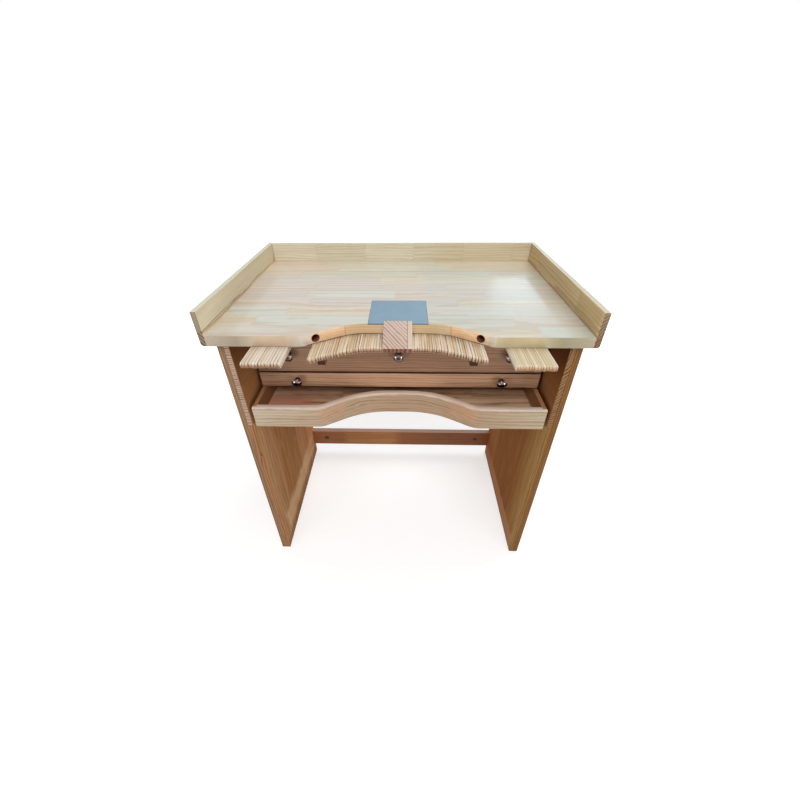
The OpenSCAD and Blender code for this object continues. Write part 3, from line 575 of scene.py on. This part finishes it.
def linedFinish(name, look, seed, bottom):
    material, tree, shader = blankMaterial(name)
    line = place(tree, "Attribute", attribute_name="growthLine").outputs["Fac"]
    band = place(tree, "Attribute", attribute_name="growthBand").outputs["Fac"]
    spot = boardVector(tree, "y", (seed * look["seedStep"], 0, 0))
    fibres = noise(tree, spot, look["fibres"], 4, 0.65)["Fac"]
    fade = noise(tree, spot, look["fade"], 2)["Fac"]
    pale = mixed(tree, band, colour(*look["pale"]), colour(*look["tan"]))
    strength = maths(tree, "MULTIPLY", line, spread(tree, fade, 0.3, 0.65, *look["lineShare"]))
    amount = maths(tree, "ADD", strength, spread(tree, fibres, 0.4, 0.7, *look["fibreShare"]), clamp=True)
    shade = mixed(tree, amount, pale, colour(*look["line"]))
    height = apart(tree, place(tree, "TexCoord").outputs["Object"])["Z"]
    # painted shade: the nose darkens towards its foot
    risen = spread(tree, height, bottom + look["foot"] * mm, bottom + look["head"] * mm, smooth=True)
    nose = mixed(tree, risen, colour(*look["low"]), colour(*look["end"]))
    ends = grouped(tree, endGrain, {"Color": shade, "End": nose, "Axis": axisWay["y"], "Rings": line,
                                    "Ring Share": look["ringShare"]})
    tree.links.new(ends["Color"], shader.inputs["Base Color"])
    bump = place(tree, "Bump", {"Height": fibres, "Distance": look["relief"] * mm, "Strength": pine["bump"]})
    tree.links.new(bump.outputs[0], shader.inputs["Normal"])
    shader.inputs["Roughness"].default_value = look["rough"]
    shader.inputs["Specular IOR Level"].default_value = look["specular"]
    return material


def cutAcross(work, spot, way):
    bmesh.ops.bisect_plane(work, geom=work.verts[:] + work.edges[:] + work.faces[:], dist=0.01 * mm,
                           plane_co=spot, plane_no=way)


def linedBoard(node, look, seed):
    work = weldedCopy(node)
    pick = random.Random(seed)
    low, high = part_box(node)
    lines, at = [], low[0] + pick.uniform(*look["first"]) * mm
    while at < high[0] - look["last"] * mm:
        lines.append((at, pick.uniform(*look["half"]) * mm, pick.uniform(*look["depth"])))
        at += pick.uniform(*look["pitch"]) * mm
    bands = [(pick.random(), pick.uniform(0, look["recess"]) * mm) for number in range(len(lines) + 1)]
    cuts = [at + step * half for at, half, depth in lines for step in (-1, 0, 1)]
    cuts += [(first[0] + second[0]) / 2 for first, second in zip(lines, lines[1:])]
    for at in cuts:
        cutAcross(work, (at, 0, 0), (1, 0, 0))
    lineLayer = work.verts.layers.float.new("growthLine")
    bandLayer = work.verts.layers.float.new("growthBand")
    for row in range(1, look["noseRows"] + 1):
        cutAcross(work, (0, 0, low[2] + look["nose"] * mm * row / look["noseRows"]), (0, 0, 1))
    foremost = {}
    for vert in work.verts:
        column = round(vert.co.x / mm, 1)
        foremost[column] = min(vert.co.y, foremost.get(column, math.inf))
    for vert in work.verts:
        near = min(range(len(lines)), key=lambda number: abs(lines[number][0] - vert.co.x))
        at, half, depth = lines[near]
        weight = max(0, 1 - abs(at - vert.co.x) / half) * depth
        tone, recess = bands[near + (vert.co.x > at)]
        vert[lineLayer], vert[bandLayer] = weight, tone
        gap = vert.co.y - foremost[round(vert.co.x / mm, 1)]
        if gap < look["front"] * mm:
            fall = 1 - gap / (look["front"] * mm)
            under = max(0, 1 - (vert.co.z - low[2]) / (look["nose"] * mm))  # the lower half of the bullnose
            vert.co.y += (recess + weight * look["notch"] * mm) * fall
            if gap < look["tip"] * mm:
                vert.co.y += look["nose"] * mm * (1 - math.sqrt(1 - under * under))
        if vert.co.z > (low[2] + high[2]) / 2:
            vert.co.z -= weight * look["groove"] * mm
    bmesh.ops.triangulate(work, faces=[face for face in work.faces if len(face.verts) > 4])
    finished(work, node + "Lined", [node], [linedFinish(node + "Pine", look, seed, low[2])], 50)


linedBoard("hand_rest_slab", restLook, 8)
linedBoard("left_armrest", dict(restLook, pale=(222, 215, 201), tan=(206, 187, 160), pitch=(6.2, 8.6),
                                line=(136, 94, 60), ringShare=1.9), 15)
linedBoard("right_armrest", dict(restLook, pale=(214, 208, 190), tan=(199, 184, 148), line=(164, 126, 84),
                                 notch=1.6, low=(150, 104, 68), ringShare=1.3), 29)
print("stage: hand rest and armrests")


# Legs, carcass and stretcher

legLook = {"order": "z", "dark": (84, 42, 18), "ring": 9, "depth": 50, "contrast": 0.3, "wave": 30,
           "fineness": 0.45, "end": (150, 100, 64), "coat": 0, "specular": 0}
leftFace = dict(
    legLook, streak=0.6, fineness=0.3, seed=6, pale=(190, 148, 104),
    ramp=("Y", 0.9, [(-240, (209, 163, 118)), (-170, (207, 161, 120)), (-110, (185, 134, 87)),
                     (20, (188, 138, 92)), (230, (208, 151, 113)), (297, (195, 143, 106))]),
    # painted light: a pale band low on the inner face and a warm lit patch near the back; painted shade: a
    # dark strip along the floor
    patches=[((-480, -190, 62), (-430, 330, 150), 46, (226, 190, 150), 0.8),
             ((-480, -260, -20), (-430, 330, 34), 30, (140, 104, 80), 0.5),
             ((-480, 175, 90), (-430, 320, 260), 50, (204, 128, 80), 0.45)])
rightFace = dict(
    legLook, streak=0.5, fineness=0.3, contrast=0.22, dark=(98, 60, 30), seed=22, pale=(166, 112, 76),
    ramp=("Y", 0.9, [(-240, (199, 157, 103)), (-190, (181, 142, 91)), (-120, (163, 112, 69)),
                     (90, (166, 111, 70)), (180, (186, 128, 84)), (297, (173, 115, 76))]),
    # painted light: a pale band low on the inner face and a warm lit patch near the back; painted shade: a
    # dark strip along the floor
    patches=[((430, -230, 6), (480, 330, 78), 18, (196, 146, 112), 0.75),
             ((430, -260, -20), (480, 330, 6), 8, (100, 62, 40), 0.6),
             ((430, 180, 50), (480, 320, 150), 50, (186, 106, 66), 0.35)])
edgeLook = dict(legLook, dark=(96, 56, 28), ring=7, contrast=0.75, streak=0.6, fineness=1, wave=14)
outerLook = dict(legLook, dark=(122, 78, 46), ring=7, contrast=0.45, streak=0.4, strip=(62, 1200), seed=35,
                 seamShare=0.4, tints=[(194, 148, 106), (180, 132, 92), (202, 158, 116), (172, 122, 82)])
# in mm, the width past which the outer faces lie and the depth past which the inner faces lie
legFaces = {"outer": 475.3, "inner": -236.6}
legPines = {
    "left_leg": pineFinish(
        "leftOuterPine", dict(outerLook, joint=("X", -460, 0.1)),
        ("X", -legFaces["outer"], 0, dict(edgeLook, seed=3, pale=(149, 121, 95)))),
    "right_leg": pineFinish(
        "rightOuterPine", dict(edgeLook, seed=27, pale=(132, 97, 61), joint=("X", 460, 0.5)),
        ("X", legFaces["outer"], 0, outerLook)),
    "left_leg_liner": pineFinish(
        "leftLinerPine", dict(
            edgeLook, seed=33, pale=(161, 118, 86), joint=("X", -460, 0.1),
            patches=[((-448, -250, 539), (-437, -230, 553), 9, (98, 52, 32), 0.9)]),  # the knot
        ("Y", legFaces["inner"], 0, leftFace)),
    "right_leg_liner": pineFinish(
        "rightLinerPine", dict(edgeLook, seed=41, pale=(142, 110, 70), joint=("X", 460, 0.5)),
        ("Y", legFaces["inner"], 0, rightFace))}
sideLook = {"order": "yz", "dark": (96, 54, 26), "strip": (48, 700), "seed": 9, "ring": 7, "depth": 0,
            "aside": 900, "contrast": 0.5, "seamShare": 0.3, "start": (-452, 0, 970), "joint": ("X", -460),
            "end": (176, 152, 132), "endRings": 1.3, "coat": 0, "specular": 0.05,
            # the ramp runs up the side from its foot: painted shade, darker towards the top under the bench
            # top
            "ramp": ("Y", 0.85, [(-310, (180, 128, 84)), (-190, (178, 126, 82)), (-145, (156, 110, 70)),
                                 (-70, (118, 76, 44)), (0, (90, 56, 32))]),
            "tints": [(152, 98, 56), (142, 90, 50), (160, 106, 64)]}
leftSidePine = pineFinish("leftSidePine", sideLook)
rightSidePine = pineFinish("rightSidePine", dict(
    sideLook, seed=18, ring=8, depth=150, aside=-150, start=(452, 0, 815), joint=("X", 460),
    end=(142, 110, 76), tints=[(126, 80, 44), (112, 68, 36), (132, 88, 52)],
    # painted shade as on the left side, darker towards the top
    ramp=("Y", 0.85, [(-155, (156, 108, 70)), (-35, (152, 104, 68)), (10, (132, 88, 52)),
                      (85, (88, 50, 22)), (155, (70, 38, 18))])))
stretcherPine = pineFinish("stretcherPine", {
    "order": "xz", "dark": (96, 54, 26), "end": (140, 90, 60), "seed": 12, "ring": 8, "depth": 40,
    "contrast": 0.35, "streak": 0.6, "strip": (120, 330), "finger": 5, "start": (-160, 0, 60),
    "tints": [(150, 100, 62)] * 2,  # a ramp has at least two stops
    "ramp": ("X", 0.85, [(-300, (161, 103, 61)), (-130, (161, 103, 61)), (-110, (176, 121, 71)),
                         (120, (176, 119, 69)), (170, (142, 86, 48)), (600, (135, 80, 44))]),
    # lid: painted light on the stretcher's top face
    "lid": ((206, 172, 156), 0.6),
    "patches": [((nut - 9.5, 240, 104), (nut + 9.5, 284, 121), 5, (62, 30, 8), 0.9)
                for nut in (-374.5, 374.5)]})  # painted shade of the holes round the barrel nuts
for side, sidePine in (("left", leftSidePine), ("right", rightSidePine)):
    for board in ("_leg", "_leg_liner"):
        dressed(side + board, legPines[side + board], 0.6)
    dressed(side + "_carcass_side", sidePine, 1.0)
dressed("rear_stretcher", stretcherPine, 1.2)
dressed("carcass_back", pineFinish("carcassBackPine", {
    "order": "xz", "dark": (124, 80, 48), "seed": 29, "ring": 8, "aside": 200, "contrast": 0.4, "coat": 0.1,
    "strip": (64, 420), "seamShare": 0.4, "tints": [(190, 144, 104), (178, 130, 90), (198, 154, 114)]}), 0.8)
print("stage: legs and carcass")


# Drawers, tray and knobs

drawerLook = {"order": "xz", "pale": (182, 142, 112), "dark": (112, 72, 46), "end": (140, 96, 66), "seed": 7,
              # lid: painted shade of the gaps on the drawer fronts' top faces
              "ring": 9, "depth": 30, "contrast": 0.6, "wave": 24, "streak": 1.1, "lid": ((66, 38, 24), 0.6)}


def paintedGapShade(node):  # painted shade of the dark gaps that the front's ends stand in, and of the one under it
    (left, near, foot), (right, far, head) = [[value / mm for value in corner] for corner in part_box(node)]
    past, end, face, under = 9, 2.6, 2.4, 1.6  # how far past the front they start, and how far in they come
    corner = (left - past, near - past, foot - past)
    return [(corner, (left + end, near + face, head + past), 2.4, (46, 26, 16), 0.85),
            ((right - end, *corner[1:]), (right + past, near + face, head + past), 2.4, (46, 26, 16), 0.85),
            (corner, (right + past, far + past, foot + under), 1.6, (56, 32, 20), 0.8)]


toolDrawerPine = pineFinish("toolDrawerPine", dict(drawerLook, patches=paintedGapShade("tool_drawer_front")))
# the upper drawer front a darker copy of the tool drawer's: painted shade under the bench top
upperDrawerPine = pineFinish("upperDrawerPine", dict(
    drawerLook, patches=paintedGapShade("upper_drawer_front"), seed=15, pale=(147, 111, 85), dark=(104, 68, 44)))
trayPine = pineFinish("trayPine", {
    "order": "xz", "pale": (200, 184, 160), "dark": (122, 86, 54), "seed": 21, "ring": 12, "depth": 60,
    "contrast": 0.62, "wave": 34, "end": (200, 176, 144), "endRings": 0.3, "streak": 0.6,
    "ramp": ("X", 1, [(-440, (180, 166, 146)), (-180, (167, 146, 120)), (0, (163, 136, 112)),
                      (200, (161, 136, 110)), (440, (173, 161, 138))]),
    # lid and the first patch: painted highlight along the tray front's top edge
    "lid": ((222, 204, 190), 0.7),
    "patches": [((-460, -300, 738), (460, 0, 760), 7, (216, 196, 182), 0.65),
                ((-232, -260, 690), (-160, 0, 738), 26, (190, 140, 108), 0.4),
                ((160, -260, 690), (232, 0, 738), 26, (190, 140, 108), 0.4)]})
trayFloor = pineFinish("trayFloor", {
    "dark": (104, 62, 38), "seed": 17, "ring": 9, "depth": 60, "contrast": 0.7, "streak": 0.4,
    "strip": (52, 340), "start": (0, -263.5, 0),
    "tints": [(224, 182, 144), (212, 168, 128), (216, 168, 132), (228, 190, 152)],
    "patches": [((-440, -162, 680), (-282, -112, 700), 8, (214, 132, 110), 0.5),
                ((-440, -112, 680), (-200, -20, 700), 30, (226, 184, 154), 0.4),
                # painted shadow at the back of the tray floor, under the tool drawer
                ((-460, -50, 670), (460, 260, 700), 30, (60, 36, 24), 0.3)]})
innerPine = pineFinish("innerPine", {
    "order": "y", "pale": (178, 131, 90), "dark": (120, 78, 48), "seed": 14, "ring": 6, "contrast": 0.45,
    "streak": 0.4})
hardwoodFinish = pineFinish("hardwoodFinish", {
    "order": "y", "pale": (126, 84, 54), "dark": (76, 46, 28), "seed": 19, "ring": 4, "contrast": 0.35,
    "end": (58, 34, 22), "coat": 0, "specular": 0.1})

knobLook = {"steps": 44, "upper": (-327, 0, 327), "tool": (-316, 316),
            # radius, height and darkening of the turned outline, from the foot to the tip: tarnish in the
            # grooves, painted dark reflections round the rim and on the dome
            "outline": [(9, 0, 1), (9, 1.4, 1), (8.3, 2.1, 1), (6.9, 2.9, 1), (6.4, 4.4, 1), (6.2, 8, 1),
                        (6.7, 11.4, 1), (8.6, 13.4, 1), (12, 14.3, 0.9), (14.6, 15.1, 0.8), (15.4, 16.2, 0.8),
                        (15.5, 17.5, 0.8), (15, 18.7, 0.4), (14, 19.4, 0.7), (13.2, 19.4, 1), (12.7, 19.9, 1),
                        (11.9, 21.1, 0.5), (10.1, 22.4, 0.1), (7.3, 23.3, 0.5), (3.8, 23.85, 0.95),
                        (0, 24, 1)]}


def turnedKnobs(name, places):
    low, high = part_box(name)
    work = bmesh.new()
    tarnishAndReflection = work.verts.layers.float.new("tarnishAndReflection")
    for x in places:
        outline = []
        for radius, height, dull in knobLook["outline"]:
            outline.append(work.verts.new((radius * mm, 0, height * mm)))
            outline[-1][tarnishAndReflection] = dull
        edges = [work.edges.new(pair) for pair in zip(outline, outline[1:])]
        bmesh.ops.spin(work, geom=outline + edges, cent=(0, 0, 0), axis=(0, 0, 1), angle=2 * math.pi,
                       steps=knobLook["steps"], use_merge=True)
        fresh = [vert for vert in work.verts if not vert.tag]
        bmesh.ops.rotate(work, verts=fresh, cent=(0, 0, 0), matrix=Matrix.Rotation(math.pi / 2, 3, "X"))
        bmesh.ops.translate(work, verts=fresh, vec=(x * mm, high[1], (low[2] + high[2]) / 2))
        for vert in fresh:
            vert.tag = True
    bmesh.ops.remove_doubles(work, verts=work.verts, dist=0.01 * mm)
    bmesh.ops.holes_fill(work, edges=[edge for edge in work.edges if edge.is_boundary])
    bmesh.ops.recalc_face_normals(work, faces=work.faces)
    finished(work, name + "Turned", [name], [brightMetal], 50)


for name, drawerPine in (("upper_drawer", upperDrawerPine), ("tool_drawer", toolDrawerPine)):
    dressed(name + "_front", drawerPine, 1.0)
    for part in ("_left_side", "_right_side"):
        dressed(name + part, innerPine, 0.8)
    dressed(name + "_back", drawerPine, 0.8)
    finishNode(name + "_bottom", trayFloor)
turnedKnobs("upper_drawer_knobs", knobLook["upper"])
turnedKnobs("tool_drawer_knobs", knobLook["tool"])
dressed("tray_front", trayPine, 0.8)
dressed("tray_left_side", innerPine, 0.8)
dressed("tray_right_side", innerPine, 0.8)
dressed("tray_back", innerPine, 0.8)
finishNode("tray_bottom", trayFloor)
for node in frame["nodes"]:
    if slotOf[node] == "hardwood":
        finishNode(node, hardwoodFinish)
    if slotOf[node] == "zinc_steel":
        finishNode(node, nutSteel if node == "barrel_nuts" else zincSteel)
print("stage: drawers and tray")


# Floor, light and camera

studio = {"floorSize": 16, "floor": (0.62, 0.62, 0.62, 1), "floorRough": 0.9, "bounce": (0.34, 0.3, 0.25, 1),
          "glow": 0.52, "fadeFrom": 0.9, "fadeTo": 2.6, "world": 0.4, "aim": (0, 0, 0.8),
          "key": 142, "keyAt": (2.8, 2.4, 6.6), "keySize": 3.6,
          "fill": 62, "fillAt": (0.1, -2.2, 3.3), "fillSize": 1.6,
          "low": 26, "lowAt": (1.9, -2.1, 0.35), "lowSize": 0.9, "lowAim": (0, 0, 0.35),
          "window": 2, "windowAt": (1.3, 2.75, 1.95), "windowSize": 0.62, "windowAim": (0.3, 0.1, 1),
          "windowTone": (0.58, 0.84, 1)}


def makeFloor():
    work = bmesh.new()
    bmesh.ops.create_grid(work, x_segments=1, y_segments=1, size=studio["floorSize"] / 2)
    mesh = bpy.data.meshes.new("floor")
    work.to_mesh(mesh)
    work.free()
    floor = bpy.data.objects.new("floor", mesh)
    bpy.context.scene.collection.objects.link(floor)
    material, tree, shader = blankMaterial("paleFloor")
    seen = backgroundRays(tree)
    tree.links.new(mixed(tree, seen, studio["bounce"], studio["floor"]), shader.inputs["Base Color"])
    shader.inputs["Roughness"].default_value = studio["floorRough"]
    away = place(tree, "VectorMath", {0: place(tree, "TexCoord").outputs["Object"]},
                 operation="LENGTH").outputs["Value"]
    glow = spread(tree, away, studio["fadeFrom"], studio["fadeTo"], studio["glow"], 1, smooth=True)
    shader.inputs["Emission Color"].default_value = (1, 1, 1, 1)
    tree.links.new(maths(tree, "MULTIPLY", glow, seen), shader.inputs["Emission Strength"])
    mesh.materials.append(material)


def makeWorld():
    world = bpy.data.worlds.new("studio")
    bpy.context.scene.world = world
    world.use_nodes = True
    tree = world.node_tree
    tree.nodes.clear()
    plain = place(tree, "Background", {"Color": (1, 1, 1, 1), "Strength": studio["world"]})
    white = place(tree, "Background", {"Color": (1, 1, 1, 1), "Strength": 1})
    both = place(tree, "MixShader", {0: backgroundRays(tree), 1: plain.outputs[0], 2: white.outputs[0]})
    place(tree, "OutputWorld", {"Surface": both.outputs[0]})


def makeLamp(name, power, at, size, target=studio["aim"], tone=(1, 1, 1)):
    lamp = bpy.data.lights.new(name, "AREA")
    lamp.energy, lamp.size, lamp.color = power, size, tone
    holder = bpy.data.objects.new(name, lamp)
    holder.location = at
    holder.rotation_euler = (Vector(target) - Vector(at)).to_track_quat("-Z", "Y").to_euler()
    bpy.context.scene.collection.objects.link(holder)


makeFloor()
makeWorld()
makeLamp("key", studio["key"], studio["keyAt"], studio["keySize"])
makeLamp("fill", studio["fill"], studio["fillAt"], studio["fillSize"])
for side in (-1, 1):  # these reach the insides of the legs
    across, back, up = studio["lowAt"]
    makeLamp("low", studio["low"], (side * across, back, up), studio["lowSize"], studio["lowAim"])
makeLamp("window", studio["window"], studio["windowAt"], studio["windowSize"], studio["windowAim"],
         studio["windowTone"])

view = {"at": (17.48 * mm, -1040.9 * mm, 1435.3 * mm), "down": 0.5925, "turn": 0.0306, "roll": -0.0102,
        "focal": 360.42, "middle": (395.22, 366.71), "side": 800, "sensor": 36, "clip": (0.05, 60)}
camera = bpy.data.cameras.new("camera")
camera.sensor_width = view["sensor"]
camera.lens = camera.sensor_width * view["focal"] / view["side"]
camera.shift_x = (view["side"] / 2 - view["middle"][0]) / view["side"]
camera.shift_y = (view["middle"][1] - view["side"] / 2) / view["side"]
camera.clip_start, camera.clip_end = view["clip"]
eye = bpy.data.objects.new("camera", camera)
turned = (Matrix.Rotation(view["turn"], 3, "Z") @ Matrix.Rotation(math.pi / 2 - view["down"], 3, "X")
          @ Matrix.Rotation(view["roll"], 3, "Z"))
eye.rotation_euler = turned.to_euler()
eye.location = view["at"]
bpy.context.scene.collection.objects.link(eye)
bpy.context.scene.camera = eye
bpy.context.scene.view_settings.view_transform = "Standard"
print("stage: studio")
